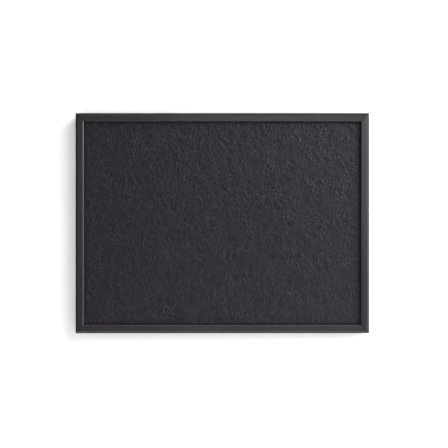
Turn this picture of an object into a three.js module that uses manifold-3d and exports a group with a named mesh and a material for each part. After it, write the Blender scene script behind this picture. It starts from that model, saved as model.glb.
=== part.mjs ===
// A wall punch pad: a leatherette-covered foam pad on a plywood board, held in a mitred black wooden frame.
//
// Millimetres, +Z up. The front faces -Y and the wall is the plane y = 0. The origin is the centre of the
// wall side. Each rail, with what is fixed to it, is built in a group of its own, in which x runs along the
// rail, z is 0 on its outer edge and falls towards the pad, and y is the same as in the whole part.

import * as THREE from "three";
import { mergeVertices } from "three/addons/utils/BufferGeometryUtils.js";
import Module from "manifold-3d";

const wasm = await Module();
wasm.setup();

// ---------------------------------------------------------------- driving dimensions

const GAP = 0.3; // between pieces that touch
const CUT_PAST = 1; // how far a cutting tool runs past the face it opens

const WIDTH = 609.6;
const HEIGHT = 457.2;
const STAND_OFF = 4; // from the wall to the back of the frame
const FRAME_DEPTH = 34;

const RAIL = {
  face: 17.6, // seen from the front
  chamferWidth: 5.5, // chamfer along the outer front edge
  chamferDepth: 5,
  lipWidth: 2.4, // chamfer along the inner edge
  lipDepth: 1.8,
  recess: 7.5, // from the front of the frame to the pad
  overhang: 5, // of the lip over the pad's edge
  backEdge: 0.8, // chamfer along the outer back edge
};

const COVER_THICKNESS = 1.2;
const COVER_MARGIN = 26; // folded onto the back of the board
const BOARD_THICKNESS = 9;
const PAD_CLEARANCE = 1; // between the pad and the rebate, all round
const BOARD_CORNER = 3;

const V_NAIL = { leg: 4, thickness: 0.8, length: 10, insets: [5.6, 11] };

const BUTTON = { width: 8, reach: 12, thickness: 1, hole: 3.6 };
const LONG_RAIL_BUTTONS = [-170, 170]; // along the rail, from its middle
const SHORT_RAIL_BUTTONS = [0];
const PAN_SCREW = {
  head: 6,
  headHeight: 1.6,
  headRim: 0.5,
  domeSteps: 4,
  shank: 3,
  length: 12,
  driveSpan: 3.4,
  driveDepth: 0.9,
};

const KEYHOLE = {
  width: 10.6,
  length: 42,
  corner: 2,
  thickness: 1.2,
  height: 158, // of the entry hole above the middle of the frame
  entry: 8,
  slot: 4,
  slotLength: 9,
  pocketWidth: 9,
  pocketCorner: 4.4,
  pocketSpare: 4, // length of the pocket beyond the entry and the slot
  pocketDepth: 6.5,
  screwSpacing: 33,
  entryOffset: 4, // of the entry hole below the middle of the plate
};
const PLATE_SCREW = {
  head: 4.6,
  headRim: 0.15,
  coneHeight: 1.1,
  shank: 2.4,
  length: 10,
  driveSpan: 2.6,
  driveDepth: 0.8,
};

const BUMPER = { base: 11, top: 8.6, straight: 1.4, rim: 0.5, inset: 42 };
const WALL_PAD = { side: 56, corner: 9, bevel: 1.2, spreadX: 190, spreadZ: 130 };

const ROUND = 20; // segments of a full circle on the small round pieces
const quarter = Math.PI / 2;

// ---------------------------------------------------------------- worked-out positions

const BACK = -STAND_OFF;
const FRONT = BACK - FRAME_DEPTH;
const RAIL_BACK = RAIL.face - RAIL.overhang; // width of a rail behind the rebate
const RAIL_MIDDLE = -RAIL_BACK / 2; // z of the middle of a rail's back, in the rail's group

const coverFront = FRONT + RAIL.recess + GAP;
const coverBack = BACK - GAP;
const boardBack = coverBack - COVER_THICKNESS - GAP;
const boardFront = boardBack - BOARD_THICKNESS;
const foamBack = boardFront - GAP;
const foamFront = coverFront + COVER_THICKNESS + GAP;

const padWidth = WIDTH - 2 * (RAIL_BACK + PAD_CLEARANCE);
const padHeight = HEIGHT - 2 * (RAIL_BACK + PAD_CLEARANCE);
const coreWidth = padWidth - 2 * (COVER_THICKNESS + GAP);
const coreHeight = padHeight - 2 * (COVER_THICKNESS + GAP);

// ---------------------------------------------------------------- materials

const material = (color, roughness, metalness) =>
  new THREE.MeshStandardMaterial({ color, roughness, metalness });

const frameBlack = material(0x3a383b, 0.42, 0);
const coverCharcoal = material(0x36343a, 0.7, 0);
const foamGrey = material(0x4a4a4c, 0.95, 0);
const plywood = material(0xc49a6c, 0.75, 0);
const steel = material(0xb4b6b8, 0.35, 1);
const rubber = material(0x1b1b1c, 0.85, 0);

// ---------------------------------------------------------------- geometry helpers

function toSolid(geometry) {
  const bare = geometry.clone();
  bare.deleteAttribute("normal");
  bare.deleteAttribute("uv");
  const merged = mergeVertices(bare, 1e-4);
  return new wasm.Manifold(
    new wasm.Mesh({
      numProp: 3,
      vertProperties: new Float32Array(merged.attributes.position.array),
      triVerts: new Uint32Array(merged.index.array),
    }),
  );
}

function toGeometry(solid) {
  const mesh = solid.getMesh();
  const geometry = new THREE.BufferGeometry();
  geometry.setAttribute("position", new THREE.BufferAttribute(mesh.vertProperties, 3));
  geometry.setIndex(new THREE.BufferAttribute(mesh.triVerts, 1));
  geometry.computeVertexNormals();
  return geometry;
}

function cut(base, tools) {
  let solid = toSolid(base);
  for (const tool of tools) solid = solid.subtract(toSolid(tool));
  return toGeometry(solid);
}

// A box between two corners.
function block([x0, y0, z0], [x1, y1, z1]) {
  const geometry = new THREE.BoxGeometry(x1 - x0, y1 - y0, z1 - z0);
  return geometry.translate((x0 + x1) / 2, (y0 + y1) / 2, (z0 + z1) / 2);
}

// An outline in x and z, extruded from y0 to y1.
function plate(shape, y0, y1, curveSegments = ROUND / 4) {
  const geometry = new THREE.ExtrudeGeometry(shape, {
    depth: y1 - y0,
    bevelEnabled: false,
    curveSegments,
  });
  return geometry.rotateX(quarter).translate(0, y1, 0);
}

// A round bar along y, centred on x and z.
function rod(diameter, y0, y1, x, z) {
  const geometry = new THREE.CylinderGeometry(diameter / 2, diameter / 2, y1 - y0, ROUND);
  return geometry.translate(x, (y0 + y1) / 2, z);
}

function roundedRectangle(width, height, radius) {
  const [a, b] = [width / 2, height / 2];
  const shape = new THREE.Shape();
  shape.moveTo(-a + radius, -b);
  shape.lineTo(a - radius, -b);
  shape.absarc(a - radius, -b + radius, radius, -quarter, 0);
  shape.lineTo(a, b - radius);
  shape.absarc(a - radius, b - radius, radius, 0, quarter);
  shape.lineTo(-a + radius, b);
  shape.absarc(-a + radius, b - radius, radius, quarter, 2 * quarter);
  shape.lineTo(-a, -b + radius);
  shape.absarc(-a + radius, -b + radius, radius, 2 * quarter, 3 * quarter);
  return shape;
}

// A turned piece round the y axis, from its profile: [radius, y] points that start and end on the axis.
function turned(profile) {
  const points = profile.map(([radius, y]) => new THREE.Vector2(radius, y));
  return new THREE.LatheGeometry(points, ROUND);
}

// A screw along y, its head towards the wall: a pointed shank and the head's profile, with a cross recess.
function screw(size, headProfile) {
  const shank = size.shank / 2;
  const tip = BACK - size.length;
  const top = headProfile.at(-1)[1];
  const body = turned([[0, tip], [shank, tip + size.shank], ...headProfile]);
  const [long, wide] = [size.driveSpan / 2, size.driveSpan / 8];
  const floor = top - size.driveDepth;
  return cut(body, [
    block([-long, floor, -wide], [long, top + CUT_PAST, wide]),
    block([-wide, floor, -long], [wide, top + CUT_PAST, long]),
  ]);
}

const root = new THREE.Group();

function add(parent, name, geometry, look, x = 0, y = 0, z = 0) {
  const mesh = new THREE.Mesh(geometry, look);
  mesh.name = name;
  mesh.position.set(x, y, z);
  parent.add(mesh);
  return mesh;
}

// ---------------------------------------------------------------- the frame's rails

// The rail's section: x is the distance from the outer edge, y is the depth coordinate.
function railSection() {
  const section = new THREE.Shape();
  section.moveTo(0, FRONT + RAIL.chamferDepth);
  section.lineTo(RAIL.chamferWidth, FRONT);
  section.lineTo(RAIL.face - RAIL.lipWidth, FRONT);
  section.lineTo(RAIL.face, FRONT + RAIL.lipDepth);
  section.lineTo(RAIL.face, FRONT + RAIL.recess);
  section.lineTo(RAIL_BACK, FRONT + RAIL.recess);
  section.lineTo(RAIL_BACK, BACK);
  section.lineTo(RAIL.backEdge, BACK);
  section.lineTo(0, BACK - RAIL.backEdge);
  return section;
}

// A mitred rail in its own group's axes: each end is drawn back by its distance from the outer edge.
function railBlank(length) {
  const blank = new THREE.ExtrudeGeometry(railSection(), {
    depth: 1,
    bevelEnabled: false,
  });
  const position = blank.attributes.position;
  const mitreGap = GAP / Math.SQRT2;
  for (let i = 0; i < position.count; i++) {
    const inset = position.getX(i);
    const end = position.getZ(i) < 0.5 ? -1 : 1;
    const along = end * (length / 2 - inset - mitreGap);
    position.setXYZ(i, along, position.getY(i), -inset);
  }
  return blank;
}

// The slots that the V nails leave in one rail: one leg of each nail, at both ends.
function nailSlots(length) {
  const half = V_NAIL.thickness / 2 + GAP;
  const slots = [];
  for (const end of [-1, 1]) {
    for (const inset of V_NAIL.insets) {
      const x = end * (length / 2 - inset);
      const low = [x - half, BACK - V_NAIL.length - GAP, -inset - half];
      const high = [x + half, BACK + CUT_PAST, -inset + V_NAIL.leg + GAP];
      slots.push(block(low, high));
    }
  }
  return slots;
}

// A screw's pilot hole in the middle of a rail's back.
function screwHole(shank, length, x) {
  return rod(shank + 2 * GAP, BACK - length - GAP, BACK + CUT_PAST, x, RAIL_MIDDLE);
}

// The mortise for a keyhole plate, the pocket behind it for the wall screw's head, and its two screw holes.
function keyholeMortise(x) {
  const [halfLength, halfWidth] = [KEYHOLE.length / 2 + GAP, KEYHOLE.width / 2 + GAP];
  const floor = BACK - KEYHOLE.thickness - GAP;
  const pocketLength = KEYHOLE.entry + KEYHOLE.slotLength + KEYHOLE.pocketSpare;
  const pocket = roundedRectangle(pocketLength, KEYHOLE.pocketWidth, KEYHOLE.pocketCorner);
  const holeX = [x - KEYHOLE.screwSpacing / 2, x + KEYHOLE.screwSpacing / 2];
  const seat = block([-halfLength, floor, -halfWidth], [halfLength, BACK + CUT_PAST, halfWidth]);
  return [
    seat.translate(x, 0, RAIL_MIDDLE),
    plate(pocket, floor - KEYHOLE.pocketDepth, floor + GAP).translate(x, 0, RAIL_MIDDLE),
    ...holeX.map((at) => screwHole(PLATE_SCREW.shank, PLATE_SCREW.length, at)),
  ];
}

// ---------------------------------------------------------------- what is fixed to the rails

// A turn button points down its group's -z, at the pad, and pivots on the y axis.
function turnButton() {
  const radius = BUTTON.width / 2;
  const outline = new THREE.Shape();
  outline.moveTo(radius, 0);
  outline.absarc(0, 0, radius, 0, Math.PI);
  outline.lineTo(-radius, -BUTTON.reach);
  outline.absarc(0, -BUTTON.reach, radius, Math.PI, 2 * Math.PI);
  const hole = new THREE.Path();
  hole.absarc(0, 0, BUTTON.hole / 2, 0, 2 * Math.PI, true);
  outline.holes.push(hole);
  return plate(outline, BACK + GAP, BACK + GAP + BUTTON.thickness, ROUND / 2);
}

// The pan head is a short cylinder with a quarter of an ellipse on it.
function panScrew() {
  const underHead = BACK + 2 * GAP + BUTTON.thickness;
  const [head, shank] = [PAN_SCREW.head / 2, PAN_SCREW.shank / 2];
  const domeStart = underHead + PAN_SCREW.headRim;
  const domeHeight = PAN_SCREW.headHeight - PAN_SCREW.headRim;
  const profile = [
    [shank, underHead],
    [head, underHead],
  ];
  for (let i = 0; i < PAN_SCREW.domeSteps; i++) {
    const angle = (i * quarter) / PAN_SCREW.domeSteps;
    profile.push([head * Math.cos(angle), domeStart + domeHeight * Math.sin(angle)]);
  }
  profile.push([0, domeStart + domeHeight]);
  return screw(PAN_SCREW, profile);
}

function plateScrew() {
  const [head, shank] = [PLATE_SCREW.head / 2, PLATE_SCREW.shank / 2];
  return screw(PLATE_SCREW, [
    [shank, BACK - PLATE_SCREW.coneHeight],
    [head, BACK - PLATE_SCREW.headRim],
    [head, BACK],
    [0, BACK],
  ]);
}

// A keyhole plate lies along x, with its slot on the +x side of the entry hole.
function keyholePlate() {
  const outline = roundedRectangle(KEYHOLE.length, KEYHOLE.width, KEYHOLE.corner);
  const [entry, slot] = [KEYHOLE.entry / 2, KEYHOLE.slot / 2];
  const meet = Math.asin(slot / entry);
  const slotEnd = KEYHOLE.slotLength;
  const keyhole = new THREE.Path();
  keyhole.absarc(0, 0, entry, meet, 2 * Math.PI - meet);
  keyhole.lineTo(slotEnd, -slot);
  keyhole.absarc(slotEnd, 0, slot, -quarter, quarter);
  keyhole.lineTo(entry * Math.cos(meet), slot);
  const points = keyhole.getPoints(ROUND / 2);
  points.forEach((point) => (point.x -= KEYHOLE.entryOffset));
  outline.holes.push(new THREE.Path(points));
  const front = BACK - KEYHOLE.thickness;
  const [narrow, wide] = [PLATE_SCREW.shank / 2 + GAP, PLATE_SCREW.head / 2 + GAP];
  const countersink = turned([
    [0, front - CUT_PAST],
    [narrow, front - CUT_PAST],
    [narrow, BACK - PLATE_SCREW.coneHeight],
    [wide, BACK],
    [wide, BACK + CUT_PAST],
    [0, BACK + CUT_PAST],
  ]);
  const half = KEYHOLE.screwSpacing / 2;
  return cut(plate(outline, front, BACK), [
    countersink.clone().translate(-half, 0, 0),
    countersink.clone().translate(half, 0, 0),
  ]);
}

// A low round foot: a short cylinder, then a taper to its flat face on the wall.
function bumper() {
  const [base, top] = [BUMPER.base / 2, BUMPER.top / 2];
  return turned([
    [0, BACK + GAP],
    [base, BACK + GAP],
    [base, BACK + BUMPER.straight],
    [top + BUMPER.rim, -BUMPER.rim],
    [top, 0],
    [0, 0],
  ]);
}

// One side of the frame, turned so that its outer edge lies on that side.
function buildSide(name, length, turn, x, z, buttons, keyholeX) {
  const side = new THREE.Group();
  side.rotation.y = turn;
  side.position.set(x, 0, z);
  root.add(side);

  const tools = nailSlots(length);
  for (const at of buttons) tools.push(screwHole(PAN_SCREW.shank, PAN_SCREW.length, at));
  if (keyholeX !== null) tools.push(...keyholeMortise(keyholeX));
  add(side, `rail_${name}`, cut(railBlank(length), tools), frameBlack);

  buttons.forEach((at, i) => {
    const label = buttons.length > 1 ? `${name}_${i + 1}` : name;
    add(side, `turn_button_${label}`, turnButton(), steel, at, 0, RAIL_MIDDLE);
    add(side, `pivot_screw_${label}`, panScrew(), steel, at, 0, RAIL_MIDDLE);
  });

  if (keyholeX !== null) {
    const up = turn < 0 ? 1 : -1; // the rail's x runs up on the left and down on the right
    const mesh = add(side, `keyhole_plate_${name}`, keyholePlate(), steel, keyholeX, 0, RAIL_MIDDLE);
    mesh.rotation.y = up > 0 ? 0 : Math.PI;
    for (const [label, end] of [["upper", up], ["lower", -up]]) {
      const at = keyholeX + (end * KEYHOLE.screwSpacing) / 2;
      add(side, `plate_screw_${name}_${label}`, plateScrew(), steel, at, 0, RAIL_MIDDLE);
    }
  }
  return side;
}

const plateMiddle = KEYHOLE.height + KEYHOLE.entryOffset;
const top = buildSide("top", WIDTH, 0, 0, HEIGHT / 2, LONG_RAIL_BUTTONS, null);
const bottom = buildSide("bottom", WIDTH, 2 * quarter, 0, -HEIGHT / 2, LONG_RAIL_BUTTONS, null);
buildSide("left", HEIGHT, -quarter, -WIDTH / 2, 0, SHORT_RAIL_BUTTONS, plateMiddle);
buildSide("right", HEIGHT, quarter, WIDTH / 2, 0, SHORT_RAIL_BUTTONS, -plateMiddle);

const bumperX = WIDTH / 2 - BUMPER.inset;
add(top, "bumper_top_left", bumper(), rubber, -bumperX, 0, RAIL_MIDDLE);
add(top, "bumper_top_right", bumper(), rubber, bumperX, 0, RAIL_MIDDLE);
add(bottom, "bumper_bottom_right", bumper(), rubber, -bumperX, 0, RAIL_MIDDLE);
add(bottom, "bumper_bottom_left", bumper(), rubber, bumperX, 0, RAIL_MIDDLE);

// ---------------------------------------------------------------- the V nails across the mitres

// One nail for the top right corner: a leg along +x into the right rail and one along +z into the top rail.
function vNail() {
  const half = V_NAIL.thickness / 2;
  const outline = new THREE.Shape();
  outline.moveTo(-half, -half);
  outline.lineTo(V_NAIL.leg, -half);
  outline.lineTo(V_NAIL.leg, half);
  outline.lineTo(half, half);
  outline.lineTo(half, V_NAIL.leg);
  outline.lineTo(-half, V_NAIL.leg);
  return plate(outline, BACK - V_NAIL.length, BACK);
}

// Each corner's place, and the turn about y that brings the top right nail to it.
const CORNERS = [
  ["top_right", 1, 1, 0],
  ["bottom_right", 1, -1, quarter],
  ["bottom_left", -1, -1, 2 * quarter],
  ["top_left", -1, 1, -quarter],
];

for (const [name, signX, signZ, turn] of CORNERS) {
  V_NAIL.insets.forEach((inset, i) => {
    const label = ["outer", "inner"][i];
    const [x, z] = [signX * (WIDTH / 2 - inset), signZ * (HEIGHT / 2 - inset)];
    add(root, `v_nail_${name}_${label}`, vNail(), steel, x, 0, z).rotation.y = turn;
  });
}

// ---------------------------------------------------------------- the pad

// The cover: a shallow tray of sheet that wraps the foam and the board, open in the middle of its back.
function coverShell() {
  const [halfX, halfZ] = [padWidth / 2, padHeight / 2];
  const [hollowX, hollowZ] = [halfX - COVER_THICKNESS, halfZ - COVER_THICKNESS];
  const [windowX, windowZ] = [halfX - COVER_MARGIN, halfZ - COVER_MARGIN];
  const outside = block([-halfX, coverFront, -halfZ], [halfX, coverBack, halfZ]);
  return cut(outside, [
    block(
      [-hollowX, coverFront + COVER_THICKNESS, -hollowZ],
      [hollowX, coverBack - COVER_THICKNESS, hollowZ],
    ),
    block([-windowX, boardBack, -windowZ], [windowX, coverBack + CUT_PAST, windowZ]),
  ]);
}

add(root, "cover", coverShell(), coverCharcoal);

const coreOutline = roundedRectangle(coreWidth, coreHeight, BOARD_CORNER);
add(root, "foam_core", plate(coreOutline, foamFront, foamBack, 3), foamGrey);
add(root, "backer_board", plate(coreOutline, boardFront, boardBack, 3), plywood);

// A wall pad: a rounded square of rubber with a bevelled rim on the wall side.
function wallPad() {
  const { side, corner, bevel } = WALL_PAD;
  const outline = roundedRectangle(side - 2 * bevel, side - 2 * bevel, corner - bevel);
  const onBoard = boardBack + GAP;
  const pad = new THREE.ExtrudeGeometry(outline, {
    depth: -onBoard - bevel,
    bevelThickness: bevel,
    bevelSize: bevel,
    bevelSegments: 1,
    curveSegments: 4,
  });
  pad.rotateX(quarter).translate(0, -bevel, 0);
  // The extrusion is bevelled at both ends, and the end on the board is squared off.
  return cut(pad, [block([-side, onBoard - 2 * bevel, -side], [side, onBoard, side])]);
}

const WALL_PADS = [
  ["centre", 0, 0],
  ["upper_left", -1, 1],
  ["upper_right", 1, 1],
  ["lower_left", -1, -1],
  ["lower_right", 1, -1],
];
for (const [name, signX, signZ] of WALL_PADS) {
  add(root, `wall_pad_${name}`, wallPad(), rubber, signX * WALL_PAD.spreadX, 0, signZ * WALL_PAD.spreadZ);
}

export default root;
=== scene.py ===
"""A wall punch pad: a crinkled leatherette pad in a mitred satin-black frame, hung on a pale wall.

Everything is in metres in the frame's own axes: +Z up, the front faces -Y, and the wall is at y = 0.
"""

import math

import bmesh
import bpy
import numpy as np
from mathutils import Matrix, Vector


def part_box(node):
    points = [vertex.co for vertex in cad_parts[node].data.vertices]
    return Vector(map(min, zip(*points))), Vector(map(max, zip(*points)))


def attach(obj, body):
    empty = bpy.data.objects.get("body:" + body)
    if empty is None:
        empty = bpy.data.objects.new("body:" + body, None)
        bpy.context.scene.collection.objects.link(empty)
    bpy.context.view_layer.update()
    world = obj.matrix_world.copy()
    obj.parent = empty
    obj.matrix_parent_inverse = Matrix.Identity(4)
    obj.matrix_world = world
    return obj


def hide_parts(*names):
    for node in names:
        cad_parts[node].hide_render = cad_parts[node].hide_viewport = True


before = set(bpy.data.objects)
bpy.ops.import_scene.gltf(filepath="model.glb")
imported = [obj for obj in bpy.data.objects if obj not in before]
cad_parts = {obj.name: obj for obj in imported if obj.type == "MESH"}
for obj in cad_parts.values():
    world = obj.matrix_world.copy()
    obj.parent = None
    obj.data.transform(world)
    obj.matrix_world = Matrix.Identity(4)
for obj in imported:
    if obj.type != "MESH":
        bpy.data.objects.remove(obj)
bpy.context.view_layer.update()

MM = 0.001
BODY = "frame"  # the fixed body: everything but the turn buttons
CUT_PAST = 1 * MM  # how far a cutting tool runs out of the piece

# ---------------------------------------------------------------- places, from the frame

RAIL_NAMES = ("top", "bottom", "left", "right")
rail_boxes = {name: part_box(f"rail_{name}") for name in RAIL_NAMES}
HALF_X = rail_boxes["right"][1].x
HALF_Z = rail_boxes["top"][1].z
FRONT = rail_boxes["top"][0].y
BACK = rail_boxes["top"][1].y
FACE = rail_boxes["top"][1].z - rail_boxes["top"][0].z  # width of a rail, seen from the front
OVERHANG = 5 * MM  # of a rail's lip over the pad
RAIL_BACK = FACE - OVERHANG  # width of a rail behind the rebate
RECESS = 7.5 * MM  # from the front of the frame to the pad
cover_low, cover_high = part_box("cover")
foam_low, foam_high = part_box("foam_core")


# ---------------------------------------------------------------- mesh helpers


def new_object(name, mesh):
    """An object of the mesh or other data, in the scene."""
    piece = bpy.data.objects.new(name, mesh)
    bpy.context.scene.collection.objects.link(piece)
    return piece


def mesh_from(name, points, faces):
    """An object from points and faces."""
    mesh = bpy.data.meshes.new(name)
    mesh.from_pydata([tuple(p) for p in points], [], [tuple(f) for f in faces])
    mesh.validate()
    return new_object(name, mesh)


def fix_normals(piece):
    """Turns the faces of a closed mesh outwards."""
    shape = bmesh.new()
    shape.from_mesh(piece.data)
    bmesh.ops.recalc_face_normals(shape, faces=shape.faces)
    shape.to_mesh(piece.data)
    shape.free()


def smooth(piece, angle=35):
    """Smooth shading, with edges sharper than the angle kept crisp and flat faces kept flat."""
    piece.data.shade_smooth()
    piece.data.set_sharp_from_angle(angle=math.radians(angle))
    weighted = piece.modifiers.new("weighted", "WEIGHTED_NORMAL")
    weighted.keep_sharp = True
    return piece


def apply_modifiers(piece):
    """Makes what the modifiers show the piece's own mesh."""
    graph = bpy.context.evaluated_depsgraph_get()
    made = bpy.data.meshes.new_from_object(piece.evaluated_get(graph))
    piece.modifiers.clear()
    piece.data = made


def cut(piece, tools):
    """Cuts the tools out of the piece and removes them."""
    for tool in tools:
        boolean = piece.modifiers.new("cut", "BOOLEAN")
        boolean.operation = "DIFFERENCE"
        boolean.solver = "EXACT"
        boolean.object = tool
    bpy.context.view_layer.update()
    apply_modifiers(piece)
    for tool in tools:
        bpy.data.objects.remove(tool)


def filleted(corners):
    """A closed outline whose corners, given as (x, y, radius, steps), are rounded off."""
    outline = []
    for i, (x, y, radius, steps) in enumerate(corners):
        here = Vector((x, y))
        before = (Vector(corners[i - 1][:2]) - here).normalized()
        after = (Vector(corners[(i + 1) % len(corners)][:2]) - here).normalized()
        half = before.angle(after) / 2
        reach = radius / math.tan(half)
        centre = here + (before + after).normalized() * radius / math.sin(half)
        start, end = here + before * reach - centre, here + after * reach - centre
        turn = start.angle_signed(end)
        for k in range(steps + 1):
            outline.append(centre + Matrix.Rotation(-turn * k / steps, 2) @ start)
    return outline


def loft(name, rings):
    """A closed skin through rings that have the same number of points, capped at both ends."""
    count = len(rings[0])
    points = [p for ring in rings for p in ring]
    faces = []
    for r in range(len(rings) - 1):
        here, there = r * count, (r + 1) * count
        for i in range(count):
            j = (i + 1) % count
            faces.append((here + i, here + j, there + j, there + i))
    faces.append(range(count))
    faces.append(range(len(points) - count, len(points)))
    piece = mesh_from(name, points, faces)
    fix_normals(piece)
    return piece


def turned(name, profile, centre, segments=40):
    """A turned piece: the profile's (radius, y) points go round the y axis through the centre."""
    rings = []
    for radius, y in profile:
        ring = []
        for i in range(segments):
            a = 2 * math.pi * i / segments
            ring.append((centre.x + radius * math.cos(a), y, centre.z + radius * math.sin(a)))
        rings.append(ring)
    return loft(name, rings)


def arc(centre_u, centre_y, radius, start, end, steps):
    """Points of an arc, with the angles in degrees."""
    angles = [math.radians(start + (end - start) * i / steps) for i in range(steps + 1)]
    return [(centre_u + radius * math.cos(a), centre_y + radius * math.sin(a)) for a in angles]


def rounded_slab(name, half_x, half_z, corner, y_low, y_high, edge, edge_steps=5, corner_steps=6):
    """A slab across y with rounded corners and rounded edges."""
    rings = []
    for y0, sign in ((y_low, 1), (y_high, -1)):
        for k in range(edge_steps + 1):
            a = math.pi / 2 * (k if sign > 0 else edge_steps - k) / edge_steps
            inset = edge * (1 - math.sin(a))
            y = y0 + sign * edge * (1 - math.cos(a))
            size_x, size_z, radius = half_x - inset, half_z - inset, corner - inset
            corners = [(-size_x, -size_z), (size_x, -size_z), (size_x, size_z), (-size_x, size_z)]
            outline = filleted([(x, z, radius, corner_steps) for x, z in corners])
            rings.append([(p.x, y, p.y) for p in outline])
    return loft(name, rings)


def slot_box(low, high):
    """A plain box to cut with."""
    points = [(x, y, z) for x in (low.x, high.x) for y in (low.y, high.y) for z in (low.z, high.z)]
    faces = [(0, 1, 3, 2), (4, 6, 7, 5), (0, 4, 5, 1), (2, 3, 7, 6), (0, 2, 6, 4), (1, 5, 7, 3)]
    tool = mesh_from("tool", points, faces)
    fix_normals(tool)
    return tool


def soften(piece, width, segments=2, angle=35):
    """Rounds a piece's sharp edges without changing its own vertices."""
    bevel = piece.modifiers.new("edges", "BEVEL")
    bevel.width = width
    bevel.segments = segments
    bevel.limit_method = "ANGLE"
    bevel.angle_limit = math.radians(angle)
    bevel.harden_normals = True


# ---------------------------------------------------------------- material helpers

MIX_SHARE, MIX_A, MIX_B, MIX_RESULT = 0, 6, 7, 2  # a Mix node's sockets for colours


class Finish:
    """A node material round one Principled shader."""

    def __init__(self, name, **values):
        self.material = bpy.data.materials.new(name)
        self.material.use_nodes = True
        self.nodes = self.material.node_tree.nodes
        self.links = self.material.node_tree.links
        self.shader = self.nodes["Principled BSDF"]
        for socket, value in values.items():
            self.shader.inputs[socket.replace("_", " ")].default_value = value
        self.place = self.nodes.new("ShaderNodeTexCoord").outputs["Object"]

    def node(self, kind, inputs=(), **settings):
        """A shader node, with values or other nodes' outputs on its inputs."""
        made = self.nodes.new("ShaderNode" + kind)
        for key, value in settings.items():
            setattr(made, key, value)
        for socket, value in dict(inputs).items():
            if isinstance(value, bpy.types.NodeSocket):
                self.links.new(value, made.inputs[socket])
            else:
                made.inputs[socket].default_value = value
        return made

    def stretched(self, x, y, z):
        """Object coordinates, scaled along each axis."""
        mapping = self.node("Mapping", {"Vector": self.place, "Scale": (x, y, z)})
        return mapping.outputs["Vector"]

    def noise(self, scale, detail=4, vector=None, distortion=0.0):
        """Noise of that scale, from 0 to 1."""
        values = {"Vector": vector or self.place, "Scale": scale, "Detail": detail}
        values["Distortion"] = distortion
        return self.node("TexNoise", values).outputs["Fac"]

    def ramp(self, value, *stops):
        """Maps a value to colours, or to greys where a stop's colour is one number."""
        made = self.node("ValToRGB", {"Fac": value})
        elements = made.color_ramp.elements
        while len(elements) < len(stops):
            elements.new(0.5)
        for element, (position, colour) in zip(elements, stops):
            element.position = position
            grey = isinstance(colour, (int, float))
            element.color = (colour,) * 3 + (1,) if grey else (*colour, 1)
        return made.outputs["Color"]

    def ridges(self, value, width):
        """Thin lines along a noise's middle value: 1 on the line and 0 away from it."""
        above = self.node("Math", {0: value, 1: 0.5}, operation="SUBTRACT").outputs[0]
        off = self.node("Math", {0: above}, operation="ABSOLUTE").outputs[0]
        return self.ramp(off, (0.0, 1.0), (width * 0.4, 0.6), (width, 0.0))

    def mix(self, share, a, b, blend="MIX"):
        """Two colours mixed, with b's share."""
        inputs = {MIX_SHARE: share, MIX_A: a, MIX_B: b}
        return self.node("Mix", inputs, data_type="RGBA", blend_type=blend).outputs[MIX_RESULT]

    def bump(self, height, distance, strength=1.0, under=None):
        """A normal from a height, on top of another normal."""
        values = {"Height": height, "Distance": distance, "Strength": strength}
        if under is not None:
            values["Normal"] = under
        return self.node("Bump", values).outputs["Normal"]

    def set(self, **sockets):
        """Links outputs to the shader's sockets."""
        for name, value in sockets.items():
            self.links.new(value, self.shader.inputs[name.replace("_", " ")])


def wear(piece, finish):
    """Gives a piece this finish and no other."""
    piece.data.materials.clear()
    piece.data.materials.append(finish.material)


# ---------------------------------------------------------------- materials

LEAN = math.radians(-38)  # of the cover's creases, from upright


def satin_black(name, grain_axis):
    """Satin lacquer over a wooden moulding whose grain runs along the axis."""
    finish = Finish(name, IOR=1.5, Specular_IOR_Level=0.45)
    finish.shader.inputs["Specular Tint"].default_value = (1, 0.96, 0.98, 1)
    along = [140.0, 140.0, 140.0]
    along[grain_axis] = 4.0
    grain = finish.noise(3.0, 6, finish.stretched(*along), 0.4)
    cloud = finish.noise(9.0, 3)
    colour = finish.ramp(cloud, (0.35, (0.0135, 0.0115, 0.0128)), (0.7, (0.0172, 0.0147, 0.0162)))
    grain_tint = finish.ramp(grain, (0.3, 0.86), (0.75, 1.12))
    finish.set(
        Base_Color=finish.mix(1.0, colour, grain_tint, "MULTIPLY"),
        Roughness=finish.ramp(grain, (0.25, 0.27), (0.8, 0.38)),
        Normal=finish.bump(grain, 0.0002, 0.35),
    )
    return finish


def leatherette():
    """Matt crinkled sheet, with painted shade in its hollows and a painted highlight along its thin creases,
    which are also a little glossier.
    """
    finish = Finish("cover_leatherette", IOR=1.48, Specular_IOR_Level=0.26)
    finish.shader.inputs["Specular Tint"].default_value = (1, 0.9, 1, 1)
    relief = finish.node("Attribute", attribute_name="relief").outputs["Fac"]
    leaning = finish.node("Mapping", {"Vector": finish.place, "Rotation": (0, LEAN, 0)})
    drawn_out = finish.node("Mapping", {"Vector": leaning.outputs["Vector"], "Scale": (1, 1, 0.7)})
    place = drawn_out.outputs["Vector"]
    ridges = finish.mix(
        0.45,
        finish.ridges(finish.noise(95.0, 2, place, 0.8), 0.07),
        finish.ridges(finish.noise(180.0, 2, place, 0.8), 0.09),
    )
    fine = finish.noise(420.0, 4)
    # painted shade and highlight: the colour is darker in the relief's hollows and lighter on its raised
    # parts
    colour = finish.ramp(relief, (0.15, (0.0040, 0.0034, 0.0051)), (0.85, (0.0112, 0.0098, 0.0139)))
    # painted highlight: the thin creases are made lighter, standing in for their glints
    crest_highlight = finish.ramp(ridges, (0.0, 0.8), (0.8, 1.45))
    under = finish.bump(fine, 0.0005, 0.5)
    finish.set(
        Base_Color=finish.mix(1.0, colour, crest_highlight, "MULTIPLY"),
        Roughness=finish.ramp(ridges, (0.0, 0.6), (0.8, 0.45)),
        Normal=finish.bump(ridges, 0.00035, 1.0, under),
    )
    return finish


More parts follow.
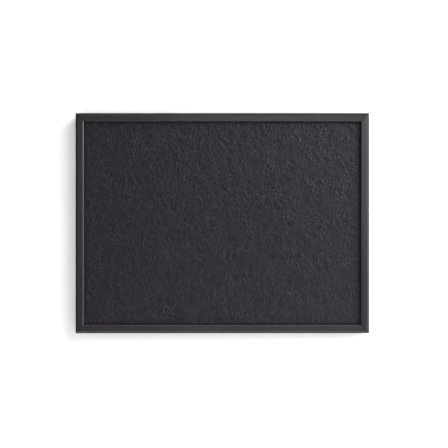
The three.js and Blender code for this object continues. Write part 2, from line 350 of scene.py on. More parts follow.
def foam_rubber():
    """Dense grey foam with small cells."""
    finish = Finish("foam", Roughness=0.95)
    cells = finish.node("TexVoronoi", {"Vector": finish.place, "Scale": 900.0}).outputs["Distance"]
    cloud = finish.noise(30.0)
    finish.set(
        Base_Color=finish.ramp(cloud, (0.3, (0.05, 0.05, 0.053)), (0.7, (0.08, 0.08, 0.084))),
        Normal=finish.bump(cells, 0.0006, 0.8),
    )
    return finish


def birch_plywood():
    """Rotary-cut birch face, with long wavering grain and a few small dark flecks."""
    finish = Finish("plywood", IOR=1.45)
    wavy = finish.noise(2.2, 3, finish.stretched(1.5, 1, 9), 1.2)
    fibres = finish.noise(5.0, 7, finish.stretched(6, 60, 190), 0.2)
    flecks = finish.noise(30.0, 4, finish.stretched(1.2, 4, 9))
    colour = finish.ramp(
        wavy, (0.3, (0.5, 0.31, 0.155)), (0.5, (0.6, 0.4, 0.215)), (0.7, (0.54, 0.345, 0.175))
    )
    streaks = finish.ramp(fibres, (0.3, 0.8), (0.65, 1.08))
    spots = finish.ramp(flecks, (0.68, 1.0), (0.76, 0.72))
    colour = finish.mix(1.0, colour, streaks, "MULTIPLY")
    finish.set(
        Base_Color=finish.mix(1.0, colour, spots, "MULTIPLY"),
        Roughness=finish.ramp(fibres, (0.3, 0.72), (0.8, 0.6)),
        Normal=finish.bump(fibres, 0.0003, 0.35),
    )
    return finish


def plated_steel(name, low, high, rough):
    """Plated steel with rolling marks and a faint bloom, between two colours and two roughnesses."""
    finish = Finish(name, Metallic=1.0)
    marks = finish.noise(14.0, 5, finish.stretched(400, 30, 30), 0.1)
    bloom = finish.noise(160.0, 4)
    finish.set(
        Base_Color=finish.ramp(bloom, (0.3, low), (0.75, high)),
        Roughness=finish.ramp(marks, (0.3, rough[0]), (0.75, rough[1])),
        Normal=finish.bump(marks, 0.00008, 0.3),
    )
    return finish


def black_rubber():
    """Matt moulded rubber with some dust."""
    finish = Finish("rubber", IOR=1.5)
    speckle = finish.noise(900.0, 3)
    dust = finish.noise(40.0, 5)
    finish.set(
        Base_Color=finish.ramp(dust, (0.35, (0.014, 0.014, 0.015)), (0.75, (0.034, 0.034, 0.036))),
        Roughness=finish.ramp(dust, (0.3, 0.66), (0.8, 0.85)),
        Normal=finish.bump(speckle, 0.0003, 0.5),
    )
    return finish


across = satin_black("frame_black_across", 0)
upright = satin_black("frame_black_upright", 2)
cover_finish = leatherette()
foam_finish = foam_rubber()
board_finish = birch_plywood()
zinc = plated_steel("zinc_steel", (0.42, 0.43, 0.44), (0.58, 0.59, 0.6), (0.36, 0.52))
screw_steel = plated_steel("screw_steel", (0.38, 0.39, 0.41), (0.54, 0.55, 0.56), (0.3, 0.46))
nail_steel = plated_steel("nail_steel", (0.25, 0.25, 0.26), (0.42, 0.42, 0.43), (0.4, 0.6))
rubber = black_rubber()


# ---------------------------------------------------------------- the frame's rails

CHAMFER_WIDTH = 5.5 * MM
CHAMFER_DEPTH = 5 * MM
LIP_WIDTH = 1.8 * MM  # chamfer along the rail's inner edge
LIP_DEPTH = 1.4 * MM
RAIL_STRETCHES = 8  # along a rail
RAIL_CREASE = 28  # degrees, for its shading
MITRE_GAP = 0.16 * MM  # from a rail's end to the mitre
MITRE_EDGE = 0.35 * MM  # chamfer round a rail's ends
NAIL_THICKNESS = 0.8 * MM
NAIL_GAP = 0.06 * MM  # round a V nail
PLATE_GAP = (0.2 * MM, 0.15 * MM, 0.2 * MM)  # round a keyhole plate
POCKET_HALF = (4.5 * MM, 10.5 * MM)  # of the pocket for a wall screw's head, in x and z
POCKET_CORNER = 4.4 * MM
POCKET_DEPTH = 6.5 * MM
POCKET_EDGE = 0.2 * MM


def rail_section(inset=0.0):
    """The rail's outline as (distance from the outer edge, y), drawn in by the inset."""
    # distance from the outer edge, y, the corner's radius in mm and the steps round it
    corners = [
        (0, FRONT + CHAMFER_DEPTH, 1.2, 4),
        (CHAMFER_WIDTH, FRONT, 0.9, 4),
        (FACE - LIP_WIDTH, FRONT, 0.6, 3),
        (FACE, FRONT + LIP_DEPTH, 0.45, 3),
        (FACE, FRONT + RECESS, 0.5, 3),
        (RAIL_BACK, FRONT + RECESS, 0.5, 3),
        (RAIL_BACK, BACK, 0.5, 3),
        (0, BACK, 0.9, 3),
    ]
    outline = filleted([(u, y, radius * MM, steps) for u, y, radius, steps in corners])
    if not inset:
        return outline
    drawn_in = []
    for i, p in enumerate(outline):
        along = (outline[(i + 1) % len(outline)] - outline[i - 1]).normalized()
        drawn_in.append(p - inset * Vector((along.y, -along.x)))
    return drawn_in


def to_frame(side, along, inset, y):
    """A point of a rail, from where it is along the rail and how far inside its outer edge."""
    return {
        "top": (along, y, HALF_Z - inset),
        "bottom": (-along, y, -HALF_Z + inset),
        "left": (-HALF_X + inset, y, along),
        "right": (HALF_X - inset, y, -along),
    }[side]


def build_rail(side):
    """A mitred rail with small chamfers round its ends."""
    half_length = HALF_X if side in ("top", "bottom") else HALF_Z
    full, small = rail_section(), rail_section(MITRE_EDGE)
    stations = [(-1, small, 0.0), (-1, full, MITRE_EDGE)]
    for k in range(1, RAIL_STRETCHES):
        stations.append((2 * k / RAIL_STRETCHES - 1, full, 0.0))
    stations += [(1, full, MITRE_EDGE), (1, small, 0.0)]
    rings = []
    for share, section, shift in stations:
        ring = []
        for p in section:
            reach = half_length - p.x - MITRE_GAP - shift
            ring.append(to_frame(side, share * reach, p.x, p.y))
        rings.append(ring)
    rail = loft(f"frame_rail_{side}", rings)
    wear(rail, across if side in ("top", "bottom") else upright)
    return rail


def nail_slots(side):
    """Tools for the slots of the V nails at both ends of a rail, two crossing slots for each nail."""
    gap = Vector((NAIL_GAP, NAIL_GAP, NAIL_GAP))
    thick = NAIL_THICKNESS + 2 * NAIL_GAP
    tools = []
    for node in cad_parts:
        if not (node.startswith("v_nail") and side in node):
            continue
        low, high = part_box(node)
        high.y += CUT_PAST
        low, high = low - gap, high + gap
        if low.x > 0:
            tools.append(slot_box(low, Vector((low.x + thick, high.y, high.z))))
        else:
            tools.append(slot_box(Vector((high.x - thick, low.y, low.z)), high))
        if low.z > 0:
            tools.append(slot_box(low, Vector((high.x, high.y, low.z + thick))))
        else:
            tools.append(slot_box(Vector((low.x, low.y, high.z - thick)), high))
    return tools


def keyhole_tools(side):
    """Tools for the mortise of a keyhole plate and the pocket behind it."""
    low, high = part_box(f"keyhole_plate_{side}")
    gap = Vector(PLATE_GAP)
    mortise = slot_box(low - gap, Vector((high.x, high.y + CUT_PAST, high.z)) + gap)
    centre = (low + high) / 2
    pocket = rounded_slab("tool", *POCKET_HALF, POCKET_CORNER, low.y - POCKET_DEPTH, low.y, POCKET_EDGE)
    pocket.location = (centre.x, 0, centre.z)
    return [mortise, pocket]


for rail_name in RAIL_NAMES:
    rail = build_rail(rail_name)
    tools = nail_slots(rail_name)
    if rail_name in ("left", "right"):
        tools += keyhole_tools(rail_name)
    cut(rail, tools)
    smooth(rail, RAIL_CREASE)
    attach(rail, BODY)
    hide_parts(f"rail_{rail_name}")


# ---------------------------------------------------------------- the pad's cover

PITCH = 1.9 * MM  # of the cover's front mesh
FRONT_EDGE = 2.2 * MM  # radius of the cover over the foam's front edge
BACK_EDGE = 1.0 * MM
CROWN = 2.4 * MM  # most that the pad swells past its flat front
RELIEF = 0.4 * MM  # height of the crinkle, as its spread
CALM_EDGE = 6 * MM  # over which the crinkle fades in from the pad's edge
MARGIN = 26 * MM  # of the cover, folded onto the board's back
SHEET = 1.2 * MM  # thickness of the cover
COVER_CORNER = 3 * MM
MARGIN_CORNER = 0.5 * MM
CRINKLE_SEED = 41
RIDGE_WIDTH = 0.6  # of the crinkle's ridges, in spreads of their waves
CLOTH_GRID = (61, 45)  # points of the sheet that is blown up, in x and z
CLOTH_STEPS = 20


def grain(shape, wavelength, rng, stretch=1.0, lean=0.0, width=0.45):
    """Smooth random waves of about one wavelength, stretched along a line that leans from upright."""
    rows, columns = shape
    kz = np.fft.fftfreq(rows, PITCH)[:, None]
    kx = np.fft.fftfreq(columns, PITCH)[None, :]
    along = kx * math.sin(lean) + kz * math.cos(lean)
    beside = kx * math.cos(lean) - kz * math.sin(lean)
    frequency = np.hypot(along * stretch, beside)
    band = np.exp(-((np.log(np.maximum(frequency, 1e-6) * wavelength) / width) ** 2))
    waves = np.fft.ifft2(np.fft.fft2(rng.standard_normal(shape)) * band).real
    return waves / waves.std()


def ridge(waves):
    """Raised rounded lines where the waves cross zero."""
    return np.exp(-((waves / RIDGE_WIDTH) ** 2))


def crinkle(shape):
    """The cover's relief, in spreads: ragged raised creases of a few sizes, with fine grain between."""
    rng = np.random.default_rng(CRINKLE_SEED)
    folds = -np.abs(grain(shape, 30 * MM, rng, 1.5, LEAN))
    creases = ridge(grain(shape, 15 * MM, rng, 1.4, LEAN))
    wrinkles = ridge(grain(shape, 10 * MM, rng, 1.25, LEAN))
    finest = grain(shape, 6 * MM, rng, 1.2, LEAN)
    strength = np.clip(1 + 0.22 * grain(shape, 70 * MM, rng), 0.5, 1.6)
    height = strength * (0.35 * folds + 0.7 * creases + 0.75 * wrinkles + 0.34 * finest)
    height -= height.mean()
    return height / height.std()


def swollen_front(half_x, half_z):
    """Heights of a thin sheet over the foam, held along its edge and pushed out from behind, up to 1."""
    columns, rows = CLOTH_GRID
    xs, zs = np.linspace(-half_x, half_x, columns), np.linspace(-half_z, half_z, rows)
    points = [(x, 0.0, z) for z in zs for x in xs]
    faces = []
    for r in range(rows - 1):
        for c in range(columns - 1):
            i = r * columns + c
            faces.append((i, i + 1, i + columns + 1, i + columns))
    sheet = mesh_from("swelling", points, faces)
    edge = [
        i for i in range(len(points)) if i % columns in (0, columns - 1) or i // columns in (0, rows - 1)
    ]
    sheet.vertex_groups.new(name="edge").add(edge, 1.0, "ADD")
    cloth = sheet.modifiers.new("cloth", "CLOTH")
    cloth.settings.vertex_group_mass = "edge"
    cloth.settings.effector_weights.gravity = 0
    cloth.settings.use_pressure = True
    cloth.settings.uniform_pressure_force = 4
    cloth.settings.tension_stiffness = 40
    cloth.settings.compression_stiffness = 40
    cloth.settings.bending_stiffness = 8
    cloth.settings.quality = 6
    scene = bpy.context.scene
    for step in range(CLOTH_STEPS):
        scene.frame_set(step + 1)
    graph = bpy.context.evaluated_depsgraph_get()
    made = sheet.evaluated_get(graph).data
    heights = np.array([v.co.y for v in made.vertices]).reshape(rows, columns)
    scene.frame_set(1)
    bpy.data.objects.remove(sheet)
    heights = -heights if abs(heights.min()) > heights.max() else heights
    return xs, zs, heights / max(heights.max(), 1e-9)


def swelling(half_x, half_z, x, z):
    """The share of the crown at each point of the cover's front."""
    xs, zs, heights = swollen_front(half_x, half_z)
    by_column = np.array([np.interp(x[0], xs, row) for row in heights])
    return np.array([np.interp(z[:, 0], zs, by_column[:, c]) for c in range(x.shape[1])]).T


def round_corner(points, half_x, half_z, radius):
    """Moves points of a rectangle's corners onto arcs of that radius."""
    over_x, over_z = np.abs(points[:, 0]) - (half_x - radius), np.abs(points[:, 2]) - (half_z - radius)
    inside = (over_x > 0) & (over_z > 0)
    length = np.hypot(over_x, over_z)
    share = np.where(inside, np.maximum(over_x, over_z) / np.maximum(length, 1e-12), 1.0)
    for axis, over, half in ((0, over_x, half_x), (2, over_z, half_z)):
        moved = np.sign(points[:, axis]) * (half - radius + over * share)
        points[:, axis] = np.where(inside, moved, points[:, axis])
    return points


def quarter_turn(steps):
    """Angles from 0 to a right angle."""
    return [math.pi / 2 * k / steps for k in range(steps + 1)]


def cover_profile(depth):
    """The cover's section past the front's flat edge, as (outset, distance behind the front)."""
    profile = [(FRONT_EDGE * math.sin(a), FRONT_EDGE * (1 - math.cos(a))) for a in quarter_turn(5)[1:]]
    profile.append((FRONT_EDGE, depth / 2))
    for a in quarter_turn(4):
        profile.append((FRONT_EDGE - BACK_EDGE * (1 - math.cos(a)), depth - BACK_EDGE * (1 - math.sin(a))))
    margin_end, margin_middle, inner_side = (FRONT_EDGE - inset for inset in (MARGIN, MARGIN / 2, SHEET))
    return profile + [
        (margin_middle, depth),
        (margin_end, depth),
        (margin_end, depth - SHEET),
        (margin_middle, depth - SHEET),
        (inner_side, depth - SHEET),
        (inner_side, depth / 2),
        (inner_side, SHEET),
    ]


def build_cover():
    """The crinkled front as a fine grid, with the sides and the folded margin as rings round it."""
    low, high = cover_low, cover_high
    flat_x, flat_z = high.x - FRONT_EDGE, high.z - FRONT_EDGE
    columns, rows = round(2 * flat_x / PITCH) + 1, round(2 * flat_z / PITCH) + 1
    x, z = np.meshgrid(np.linspace(-flat_x, flat_x, columns), np.linspace(-flat_z, flat_z, rows))
    relief = crinkle((rows, columns))
    to_edge = np.minimum(flat_x - np.abs(x), flat_z - np.abs(z))
    calm = np.clip(to_edge / CALM_EDGE, 0, 1)
    calm = calm * calm * (3 - 2 * calm)
    lift = CROWN * swelling(flat_x, flat_z, x, z) + RELIEF * relief * calm
    front = np.stack([x, low.y - lift, z], axis=-1).reshape(-1, 3)

    index = np.arange(rows * columns).reshape(rows, columns)
    border = np.concatenate([index[0, :-1], index[:-1, -1], index[-1, :0:-1], index[:0:-1, 0]])
    edge = front[border] * (1, 0, 1)
    rings = [front]
    for outset, behind in cover_profile(high.y - low.y):
        half_x, half_z = flat_x + outset, flat_z + outset
        ring = edge.copy()
        ring[:, 0] *= half_x / flat_x
        ring[:, 2] *= half_z / flat_z
        ring[:, 1] = low.y + behind
        corner = COVER_CORNER if half_x > flat_x else MARGIN_CORNER
        rings.append(round_corner(ring, half_x, half_z, corner))
    points = np.concatenate(rings)

    quads = np.stack([index[:-1, :-1], index[:-1, 1:], index[1:, 1:], index[1:, :-1]], -1)
    faces = quads.reshape(-1, 4).tolist()
    count = len(border)
    loops = [border] + [rows * columns + k * count + np.arange(count) for k in range(len(rings) - 1)]
    for here, there in zip(loops, loops[1:]):
        faces += np.stack([here, np.roll(here, -1), np.roll(there, -1), there], -1).tolist()
    faces.append(loops[-1].tolist())

    cover = mesh_from("pad_cover", points, faces)
    fix_normals(cover)
    # the relief's heights, from which the cover's finish paints shade in the hollows and light on the raised
    # parts
    attribute = cover.data.attributes.new("relief", "FLOAT", "POINT")
    values = np.full(len(points), 0.45, np.float32)
    values[: rows * columns] = np.clip(0.5 + 0.2 * relief.reshape(-1), 0, 1)
    attribute.data.foreach_set("value", values)
    cover.data.shade_smooth()
    cover.data.set_sharp_from_angle(angle=math.radians(50))
    wear(cover, cover_finish)
    return cover


cover = build_cover()
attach(cover, BODY)
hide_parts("cover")


# ---------------------------------------------------------------- folds and staples on its back

BACK_FACE = cover_high.y
FOLD_REACH = 31 * MM  # of a corner's pleat along the pad's long edge
FOLD_SLANT = 3 * MM  # of the pleat's far end
FOLD_INSET = 1.1 * MM  # of the pleat from the pad's long edge
FOLD_TIP = 1.6 * MM  # of the pleat from the pad's short edge
FOLD_SHORT = 0.6 * MM  # by which the pleat stays inside the margin
FOLD_SUNK = 0.4 * MM
FOLD_THICKNESS = 1.0 * MM


def build_pleats():
    """The doubled leatherette at each corner, folded flat under a slanting edge."""
    x, z = cover_high.x, cover_high.z
    outline = [
        (x - FOLD_TIP, z - FOLD_INSET),
        (x - MARGIN, z - MARGIN + FOLD_SHORT),
        (x - FOLD_REACH, z - MARGIN + FOLD_SLANT),
        (x - FOLD_REACH - FOLD_SLANT, z - FOLD_INSET),
    ]
    points, faces = [], []
    for sx in (-1, 1):
        for sz in (-1, 1):
            start = len(points)
            for y in (BACK_FACE - FOLD_SUNK, BACK_FACE + FOLD_THICKNESS):
                points += [(sx * px, y, sz * pz) for px, pz in outline]
            faces += [[start + i for i in range(4)], [start + 4 + i for i in range(4)]]
            for i in range(4):
                j = (i + 1) % 4
                faces.append([start + i, start + j, start + 4 + j, start + 4 + i])
    pleats = mesh_from("cover_pleats", points, faces)
    fix_normals(pleats)
    soften(pleats, 0.55 * MM, 4)
    wear(pleats, cover_finish)
    return pleats


STAPLE_LENGTH = 10 * MM
STAPLE_BEND = 0.7 * MM
STAPLE_LEG = 2.2 * MM
STAPLE_PITCH = 36 * MM
STAPLE_INSET = 15 * MM  # from the pad's edge
CORNER_STAPLE = (0.62 * MARGIN, 0.42 * MARGIN)  # its place from the pad's edges
WIRE = (1.1 * MM, 0.5 * MM)  # width and thickness of a staple's flat wire
STAPLE_SEED = 11
STAPLE_TILT = 4  # degrees, as a spread
STAPLE_STRAY = 0.5 * MM  # as a spread


def staple_path():
    """Half-round shoulders between a straight crown and two legs, as (along, out of the board)."""
    half, bend = STAPLE_LENGTH / 2, STAPLE_BEND
    path = [(-half, -STAPLE_LEG)] + arc(-half + bend, -bend, bend, 180, 90, 4)
    path += arc(half - bend, -bend, bend, 90, 0, 4) + [(half, -STAPLE_LEG)]
    return path


def staple_spots():
    """Places and turns, as (x, z, degrees): rows along all four edges, and one at each corner."""
    x_row, z_row = cover_high.x - STAPLE_INSET, cover_high.z - STAPLE_INSET
    spots = []
    for half, across_edge, turn in ((x_row, z_row, 0), (z_row, x_row, 90)):
        count = round((2 * half - 2 * FOLD_REACH) / STAPLE_PITCH)
        for k in range(count + 1):
            along = (half - FOLD_REACH) * (2 * k / count - 1)
            for side in (-1, 1):
                spot = (along, side * across_edge) if turn == 0 else (side * across_edge, along)
                spots.append((*spot, turn))
    x, z = cover_high.x - CORNER_STAPLE[0], cover_high.z - CORNER_STAPLE[1]
    spots += [(sx * x, sz * z, 0) for sx in (-1, 1) for sz in (-1, 1)]
    return spots


def staple(path, x, z, angle):
    """The points of one staple, four round each place of the path."""
    width, thick = WIRE
    on_pleat = abs(x) > cover_high.x - FOLD_REACH and abs(z) > cover_high.z - MARGIN
    out = BACK_FACE + thick + (FOLD_THICKNESS if on_pleat else 0)
    points = []
    for i, (along, up) in enumerate(path):
        before, after = path[max(i - 1, 0)], path[min(i + 1, len(path) - 1)]
        heading = Vector((after[0] - before[0], after[1] - before[1])).normalized()
        for side, depth in ((-1, 0), (1, 0), (1, 1), (-1, 1)):
            s = along + heading.y * thick * depth
            y = out + up - heading.x * thick * depth
            w = side * width / 2
            points.append((x + s * math.cos(angle) - w * math.sin(angle), y,
                           z + s * math.sin(angle) + w * math.cos(angle)))
    return points


def build_staples():
    """Staples all round the cover's margin, a little out of line, as one piece."""
    rng = np.random.default_rng(STAPLE_SEED)
    points, faces = [], []
    path = staple_path()
    for x, z, turn in staple_spots():
        angle = math.radians(turn + rng.normal(0, STAPLE_TILT))
        x, z = x + rng.normal(0, STAPLE_STRAY), z + rng.normal(0, STAPLE_STRAY)
        start = len(points)
        points += staple(path, x, z, angle)
        for i in range(len(path) - 1):
            for c in range(4):
                d = (c + 1) % 4
                faces.append([start + 4 * i + c, start + 4 * i + d,
                              start + 4 * i + 4 + d, start + 4 * i + 4 + c])
        last = start + 4 * (len(path) - 1)
        faces += [range(start, start + 4), range(last, last + 4)]
    staples = mesh_from("cover_staples", points, faces)
    fix_normals(staples)
    smooth(staples, 40)
    wear(staples, screw_steel)
    return staples


pleats = build_pleats()
staples = build_staples()
for piece, slot_name in ((pleats, "cover_leatherette"), (staples, "screw_steel")):
    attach(piece, BODY)


# ---------------------------------------------------------------- rounded edges on the CAD nodes

CREASE = 40  # degrees: a sharper edge than this stays an edge


def smoothing():
    """Geometry nodes that shade a mesh smooth, but for its sharp edges."""
    group = bpy.data.node_groups.new("smoothing", "GeometryNodeTree")
    group.interface.new_socket("Geometry", in_out="INPUT", socket_type="NodeSocketGeometry")
    group.interface.new_socket("Geometry", in_out="OUTPUT", socket_type="NodeSocketGeometry")
    nodes, links = group.nodes, group.links
    start, end = nodes.new("NodeGroupInput"), nodes.new("NodeGroupOutput")
    bare = nodes.new("GeometryNodeRemoveAttribute")
    bare.inputs["Name"].default_value = "custom_normal"
    faces, edges = nodes.new("GeometryNodeSetShadeSmooth"), nodes.new("GeometryNodeSetShadeSmooth")
    edges.domain = "EDGE"
    angle, gentle = nodes.new("GeometryNodeInputMeshEdgeAngle"), nodes.new("ShaderNodeMath")
    gentle.operation = "LESS_THAN"
    gentle.inputs[1].default_value = math.radians(CREASE)
    links.new(start.outputs[0], bare.inputs["Geometry"])
    links.new(bare.outputs["Geometry"], faces.inputs["Geometry"])
    links.new(faces.outputs["Geometry"], edges.inputs["Geometry"])
    links.new(angle.outputs["Unsigned Angle"], gentle.inputs[0])
    links.new(gentle.outputs[0], edges.inputs["Shade Smooth"])
    links.new(edges.outputs["Geometry"], end.inputs[0])
    return group


smooth_nodes = smoothing()


def rounded_cad_node(piece, width):
    """Joins a CAD node's loose triangles into faces and rounds its sharp edges, all by modifiers."""
    piece.modifiers.new("joined", "WELD").merge_threshold = 0.002 * MM
    flat = piece.modifiers.new("flat_faces", "DECIMATE")
    flat.decimate_type = "DISSOLVE"
    flat.angle_limit = math.radians(1)
    piece.modifiers.new("smoothing", "NODES").node_group = smooth_nodes
    soften(piece, width, 3, CREASE)


# ---------------------------------------------------------------- foam and board

FOAM_CORNER = 3 * MM
FOAM_EDGE = 1.6 * MM
BOARD_EDGE = 0.5 * MM

foam = rounded_slab("foam_pad", foam_high.x, foam_high.z, FOAM_CORNER, foam_low.y, foam_high.y, FOAM_EDGE)
wear(foam, foam_finish)
smooth(foam)
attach(foam, BODY)
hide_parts("foam_core")

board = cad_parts["backer_board"]
rounded_cad_node(board, BOARD_EDGE)
wear(board, board_finish)


# ---------------------------------------------------------------- rubber pads and bumpers

PAD_CORNER = 9 * MM
PAD_EDGE = 1.2 * MM
GROOVE_WIDTH = 1.3 * MM
GROOVE_DEPTH = 0.9 * MM
GROOVE_PITCH = 4.4 * MM
GROOVE_MARGIN = (6 * MM, 5 * MM)  # from the wall pad's edges to its grooves, in x and z
BUMPER_TOP = 4.3 * MM  # radius


def build_wall_pad(node):
    """A moulded rubber square with grip grooves across its wall side."""
    low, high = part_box(node)
    half = (high - low) / 2
    centre = (low + high) / 2
    pad = rounded_slab(node + "_rubber", half.x, half.z, PAD_CORNER, low.y, high.y, PAD_EDGE)
    tools = []
    count = int((half.x - GROOVE_MARGIN[0]) / GROOVE_PITCH)
    reach = half.z - GROOVE_MARGIN[1]
    for k in range(-count, count + 1):
        x = k * GROOVE_PITCH
        corner = Vector((x - GROOVE_WIDTH / 2, high.y - GROOVE_DEPTH, -reach))
        tools.append(slot_box(corner, Vector((x + GROOVE_WIDTH / 2, high.y + CUT_PAST, reach))))
    cut(pad, tools)
    smooth(pad, 30)
    pad.location = (centre.x, 0, centre.z)
    return pad


def build_bumper(node):
    """A turned rubber foot with a domed rim and a dimple in its face."""
    low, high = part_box(node)
    base, top = (high.x - low.x) / 2, BUMPER_TOP
    profile = [(base - 0.3 * MM, low.y), (base, low.y + 0.3 * MM), (base, low.y + 1.3 * MM)]
    profile += [(base - 0.12 * MM, low.y + 1.6 * MM), (top + 0.35 * MM, high.y - 0.9 * MM)]
    profile += arc(top - 0.5 * MM, high.y - 0.7 * MM, 0.7 * MM, 15, 90, 5)
    profile += [(1.7 * MM, high.y), (1.45 * MM, high.y - 0.25 * MM), (1.1 * MM, high.y - 0.7 * MM)]
    profile += [(0.4 * MM, high.y - 0.75 * MM)]
    return smooth(turned(node + "_rubber", profile, (low + high) / 2), 45)


for node in list(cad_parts):
    if not node.startswith(("bumper", "wall_pad")):
        continue
    piece = build_bumper(node) if node.startswith("bumper") else build_wall_pad(node)
    wear(piece, rubber)
    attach(piece, BODY)
    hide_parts(node)


# ---------------------------------------------------------------- steel pieces, from the CAD

# the start of the nodes' names, their finish and how far their edges are rounded
STEEL = (
    ("turn_button", zinc, 0.18 * MM),
    ("keyhole_plate", zinc, 0.18 * MM),
    ("pivot_screw", screw_steel, 0.08 * MM),
    ("plate_screw", screw_steel, 0.08 * MM),
    ("v_nail", nail_steel, 0.1 * MM),
)
for start, finish, edge in STEEL:
    for node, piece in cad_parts.items():
        if node.startswith(start):
            wear(piece, finish)
            rounded_cad_node(piece, edge)


# ---------------------------------------------------------------- wall and floor

WALL_GAP = 0.4 * MM
WALL_WHITE = 0.74
WALL_HALF = 3  # of its width
WALL_TOP = 2
PAINTED_SHADE_EDGE = 8 * MM  # over which the painted shade darkens the wall behind the frame's edge
PAINTED_SHADE = 0.02  # the wall's painted shade behind the frame, where the frame would keep the light off
FLOOR_Z = -1.0
FLOOR_WHITE = 0.88
FLOOR_FADE = (1.5, 3.1)  # distances over which the floor fades into the studio
FLOOR_REACH = 3.2


def plane(name, points, white):
    """A matt sheet of the stage, and its finish."""
    surface = mesh_from(name, points, [range(4)])
    finish = Finish(name, Roughness=0.9)
    finish.shader.inputs["Base Color"].default_value = (white, white, white, 1)
    wear(surface, finish)
    return surface, finish


def fade_out(finish, share):
    """Mixes a material with clear, where the share is 1."""
    clear = finish.node("BsdfTransparent").outputs["BSDF"]
    shown = finish.node("MixShader", {0: share, 1: finish.shader.outputs["BSDF"], 2: clear})
    finish.links.new(shown.outputs["Shader"], finish.nodes["Material Output"].inputs["Surface"])


def build_wall():
    """A white wall that shows from the front only, with painted shade behind the frame, that lights and
    shades nothing.
    """
    y, side = WALL_GAP, WALL_HALF
    points = [(-side, y, FLOOR_Z), (side, y, FLOOR_Z), (side, y, WALL_TOP), (-side, y, WALL_TOP)]
    wall, finish = plane("wall", points, 1.0)
    beyond = finish.node("VectorMath", {0: finish.place}, operation="ABSOLUTE").outputs[0]
    size = (HALF_X, 0, HALF_Z)
    beyond = finish.node("VectorMath", {0: beyond, 1: size}, operation="SUBTRACT").outputs[0]
    axes = finish.node("SeparateXYZ", {0: beyond}).outputs
    nearest = finish.node("Math", {0: axes["X"], 1: axes["Z"]}, operation="MAXIMUM").outputs[0]
    distances = {"Value": nearest, "From Min": -PAINTED_SHADE_EDGE, "From Max": 0}
    outside_painted_shade = finish.node("MapRange", distances, interpolation_type="SMOOTHSTEP").outputs[0]
    # painted shade: the wall's colour goes dark behind the frame, where no light would get
    finish.set(Base_Color=finish.ramp(outside_painted_shade, (0.0, PAINTED_SHADE), (1.0, WALL_WHITE)))
    fade_out(finish, finish.node("NewGeometry").outputs["Backfacing"])
    wall.visible_diffuse = False
    wall.visible_glossy = False
    wall.visible_shadow = False
    wall.visible_transmission = False
    return wall


def build_floor():
    """A pale floor that fades out, so that it has no far edge."""
    r = FLOOR_REACH
    points = [(-r, -r, FLOOR_Z), (r, -r, FLOOR_Z), (r, r, FLOOR_Z), (-r, r, FLOOR_Z)]
    floor, finish = plane("floor", points, FLOOR_WHITE)
    away = finish.node("VectorMath", {0: finish.place}, operation="LENGTH").outputs["Value"]
    near, far = FLOOR_FADE
    distances = {"Value": away, "From Min": near, "From Max": far}
    share = finish.node("MapRange", distances, interpolation_type="SMOOTHSTEP").outputs[0]
    fade_out(finish, share)


wall = build_wall()
build_floor()


# ---------------------------------------------------------------- lights

# name, place, size and radiance of each studio light, all aimed at the pad
LIGHTS = (
    ("key", (1.85, -1.85, 1.5), (1.8, 1.8), 10.4),
    ("side", (2.8, -0.8, 0.1), (1.6, 1.8), 6.2),
    ("top", (0.1, -0.7, 2.2), (2.0, 1.0), 2.6),
    ("low", (0.4, -0.85, -0.9), (1.8, 0.8), 1.95),
    ("wash", (-0.1, -1.9, -0.3), (1.6, 1.1), 3.45),
    ("fill", (-2.15, -2.1, 0.2), (1.8, 1.8), 1.45),
    ("front", (0.4, -2.9, 0.5), (1.5, 1.3), 1.87),
    ("behind", (1.1, 2.5, 0.6), (3.0, 2.4), 1.9),
)
STUDIO_DIM = 0.13  # the light of the studio's walls
STUDIO_PALE = 0.9  # the studio's walls, as the camera sees them


def area_light(name, place, size, radiance):
    """A rectangular light that is aimed at the pad's middle and isn't seen by the camera."""
    data = bpy.data.lights.new(name, "AREA")
    data.shape = "RECTANGLE"
    data.size, data.size_y = size
    data.energy = radiance * math.pi * size[0] * size[1]
    light = new_object(name, data)
    light.location = place
    light.rotation_euler = (-Vector(place)).to_track_quat("-Z", "Y").to_euler()
    light.visible_camera = False
    return light


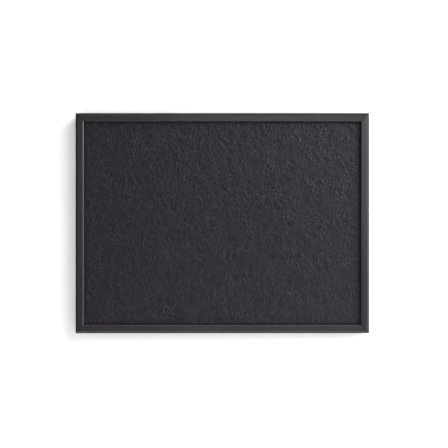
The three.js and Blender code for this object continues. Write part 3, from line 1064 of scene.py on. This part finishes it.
def light_only(light, pieces, state):
    """Makes a light reach only these pieces (INCLUDE), or all but them (EXCLUDE)."""
    group = bpy.data.collections.new(light.name + "_" + state.lower())
    for piece in pieces:
        group.objects.link(piece)
    for member in group.collection_objects:
        member.light_linking.link_state = state
    light.light_linking.receiver_collection = group


def build_lights():
    """The studio's lights, each on the pieces that it is meant for."""
    studio = {name: area_light(name, place, size, radiance) for name, place, size, radiance in LIGHTS}

    # The top rail takes no gloss from the key, whose glare would bleach it when seen from behind.
    matt_key = studio["key"].copy()
    matt_key.data = matt_key.data.copy()
    bpy.context.scene.collection.objects.link(matt_key)
    matt_key.visible_glossy = False
    top_rail = [bpy.data.objects["frame_rail_top"]]
    light_only(studio["key"], top_rail, "EXCLUDE")
    light_only(matt_key, top_rail, "INCLUDE")

    light_only(studio["wash"], [wall], "INCLUDE")
    for name in ("top", "low"):
        light_only(studio[name], [wall], "EXCLUDE")


def build_world():
    """Pale walls all round, which look brighter than the light that they give."""
    world = bpy.data.worlds.new("studio")
    world.use_nodes = True
    nodes, links = world.node_tree.nodes, world.node_tree.links
    dim = nodes["Background"]
    dim.inputs["Color"].default_value = (1, 1, 1, 1)
    dim.inputs["Strength"].default_value = STUDIO_DIM
    pale = nodes.new("ShaderNodeBackground")
    pale.inputs["Strength"].default_value = STUDIO_PALE
    seen = nodes.new("ShaderNodeLightPath")
    either = nodes.new("ShaderNodeMixShader")
    links.new(seen.outputs["Is Camera Ray"], either.inputs[0])
    links.new(dim.outputs[0], either.inputs[1])
    links.new(pale.outputs[0], either.inputs[2])
    links.new(either.outputs[0], nodes["World Output"].inputs["Surface"])
    bpy.context.scene.world = world


build_lights()
build_world()
bpy.context.scene.view_settings.view_transform = "Standard"


# ---------------------------------------------------------------- camera

CAMERA_DISTANCE = 1.3  # from the front of the frame
CAMERA_X = 3.4 * MM
CAMERA_Z = -1.7 * MM

camera_data = bpy.data.cameras.new("camera")
camera_data.lens = 50.5
camera_data.sensor_width = 36
camera = new_object("camera", camera_data)
camera.location = (CAMERA_X, FRONT - CAMERA_DISTANCE, CAMERA_Z)
camera.rotation_euler = (math.pi / 2, 0, 0)
bpy.context.scene.camera = camera
